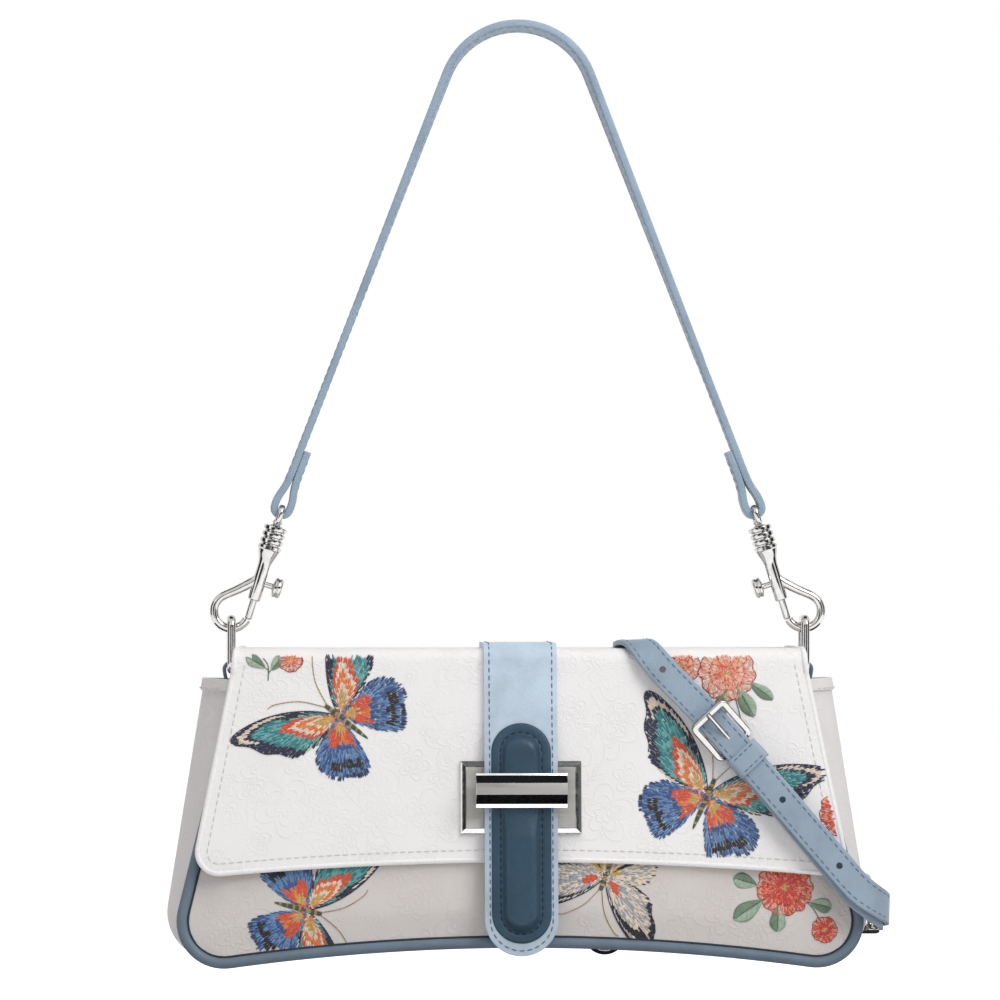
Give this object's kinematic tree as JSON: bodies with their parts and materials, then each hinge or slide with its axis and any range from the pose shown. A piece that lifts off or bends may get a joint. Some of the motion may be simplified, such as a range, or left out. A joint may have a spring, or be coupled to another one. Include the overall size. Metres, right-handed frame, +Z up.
{
  "type": "baguette bag",
  "caption": "Embroidered flap baguette bag hanging by a leather shoulder strap on trigger hooks, with a buckled closure strap and a wrapped crossbody strap.",
  "frame": {"origin": "under the top of the shoulder strap, where a shoulder or hook carries it", "axes": "+Z up, the front of the bag faces -Y, +X to the right seen from the front"},
  "size_m": [0.2925, 0.1028, 0.3836],
  "materials": {
    "white_jacquard": "woven jacquard with satin embroidery",
    "pale_lining": "plain woven lining",
    "stiff_board": "stiffener sheet",
    "blue_leather": "smooth light blue leather",
    "dark_blue_leather": "smooth dark blue leather",
    "piping_leather": "grey-blue leather piping",
    "polished_silver": "polished plated metal",
    "brushed_silver": "fine brushed plated metal",
    "spring_steel": "drawn wire"
  },
  "bodies": {
    "shoulder_strap": {"shoulder_strap": "blue_leather", "eye_left": "polished_silver", "eye_right": "polished_silver"},
    "bag": {"front_panel": "white_jacquard", "back_panel": "white_jacquard", "gusset": "white_jacquard", "front_piping": "piping_leather", "back_piping": "piping_leather", "lining": "pale_lining", "bottom_board": "stiff_board", "inner_pocket": "pale_lining", "flap_lid": "white_jacquard", "flap_root": "white_jacquard", "closure_strap_top": "blue_leather", "closure_strap_root": "blue_leather", "magnet_socket": "polished_silver", "ring_tab_left": "blue_leather", "ring_tab_right": "blue_leather", "crossbody_hank": "blue_leather", "hank_tie": "blue_leather", "eye_hank": "polished_silver"},
    "flap": {"flap_panel": "white_jacquard", "flap_lining": "pale_lining", "closure_strap": "blue_leather", "strap_pad": "dark_blue_leather", "buckle_plate": "brushed_silver", "buckle_bar": "polished_silver", "bar_posts": "polished_silver", "magnet_stud": "polished_silver", "crossbody_strap": "blue_leather", "crossbody_anchor": "blue_leather", "crossbody_buckle": "polished_silver", "crossbody_keeper": "blue_leather", "eye_side": "polished_silver"},
    "ring_left": {"ring_left": "polished_silver"},
    "ring_right": {"ring_right": "polished_silver"},
    "hook_left": {"hook_left": "polished_silver", "spring_left": "spring_steel"},
    "gate_left": {"gate_left": "polished_silver"},
    "hook_right": {"hook_right": "polished_silver", "spring_right": "spring_steel"},
    "gate_right": {"gate_right": "polished_silver"},
    "hook_hank": {"hook_hank": "polished_silver", "spring_hank": "spring_steel"},
    "gate_hank": {"gate_hank": "polished_silver"},
    "hook_side": {"hook_side": "polished_silver", "spring_side": "spring_steel"},
    "gate_side": {"gate_side": "polished_silver"},
    "prong": {"crossbody_prong": "polished_silver"}
  },
  "joints": [
    {"name": "bag_swing", "type": "hinge", "parent": "shoulder_strap", "child": "bag", "pos_m": [0, 0, -0.23941], "axis": [1, 0, 0], "range_deg": [-45, 45]},
    {"name": "flap_open", "type": "hinge", "parent": "bag", "child": "flap", "pos_m": [0, -0.0174, -0.24896], "axis": [-1, 0, 0], "range_deg": [0, 105]},
    {"name": "ring_tilt_left", "type": "hinge", "parent": "bag", "child": "ring_left", "pos_m": [-0.11658, 0, -0.25605], "axis": [0, 1, 0], "range_deg": [-2, 2]},
    {"name": "ring_tilt_right", "type": "hinge", "parent": "bag", "child": "ring_right", "pos_m": [0.11658, 0, -0.25605], "axis": [0, 1, 0], "range_deg": [-2, 2]},
    {"name": "hook_turn_left", "type": "hinge", "parent": "shoulder_strap", "child": "hook_left", "pos_m": [-0.096, 0, -0.19039], "axis": [0.2924, 0, 0.9563], "range_deg": [-4, 4]},
    {"name": "gate_slide_left", "type": "slide", "parent": "hook_left", "child": "gate_left", "axis": [0.2924, 0, 0.9563], "range_m": [0, 0.0065], "stiffness_N_per_m": 250, "deforming": ["spring_left"]},
    {"name": "hook_turn_right", "type": "hinge", "parent": "shoulder_strap", "child": "hook_right", "pos_m": [0.096, 0, -0.19039], "axis": [-0.2924, 0, 0.9563], "range_deg": [-4, 4]},
    {"name": "gate_slide_right", "type": "slide", "parent": "hook_right", "child": "gate_right", "axis": [-0.2924, 0, 0.9563], "range_m": [0, 0.0065], "stiffness_N_per_m": 250, "deforming": ["spring_right"]},
    {"name": "hook_turn_hank", "type": "hinge", "parent": "bag", "child": "hook_hank", "pos_m": [0.046, 0.05425, -0.32036], "axis": [0, -0.1032, 0.9947], "range_deg": [-25, 25]},
    {"name": "gate_slide_hank", "type": "slide", "parent": "hook_hank", "child": "gate_hank", "axis": [0, -0.1032, 0.9947], "range_m": [0, 0.0065], "stiffness_N_per_m": 250, "deforming": ["spring_hank"]},
    {"name": "hook_turn_side", "type": "hinge", "parent": "flap", "child": "hook_side", "pos_m": [0.1467, 0.00881, -0.35269], "axis": [0, -0.9947, 0.1032], "range_deg": [-40, 4]},
    {"name": "gate_slide_side", "type": "slide", "parent": "hook_side", "child": "gate_side", "axis": [0, -0.9947, 0.1032], "range_m": [0, 0.0065], "stiffness_N_per_m": 250, "deforming": ["spring_side"]},
    {"name": "prong_lift", "type": "hinge", "parent": "flap", "child": "prong", "pos_m": [0.08668, -0.02588, -0.28678], "axis": [0.7266, 0.0709, 0.6834], "range_deg": [0, 30]}
  ]
}
